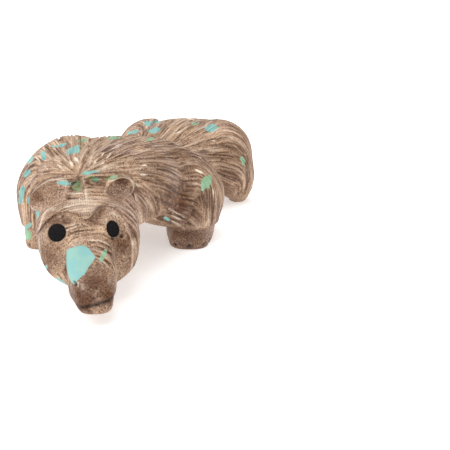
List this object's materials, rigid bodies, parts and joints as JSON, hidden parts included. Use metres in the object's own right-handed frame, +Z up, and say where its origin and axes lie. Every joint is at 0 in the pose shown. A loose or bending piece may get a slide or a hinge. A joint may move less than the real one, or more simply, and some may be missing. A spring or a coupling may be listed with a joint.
{
  "type": "small carved stone wolf figure",
  "caption": "Palm-sized wolf carved from brown stone with turquoise patches, cut fur locks, thick tail and inlaid black stone eyes",
  "frame": {"origin": "on the ground under the middle of the carving's bounding box", "axes": "+Z up; the length of the carving runs along Y, with the head at -Y and the tail at +Y; the wolf's left side is +X"},
  "size_m": [0.0308, 0.0826, 0.0156],
  "materials": {
    "brown_stone": "hand carved and polished to a satin shine, paler in the cuts, with turquoise and green patches",
    "black_stone": "polished to a gloss"
  },
  "bodies": {
    "root": {"wolf": "brown_stone", "left_eye": "black_stone", "right_eye": "black_stone"}
  },
  "joints": []
}
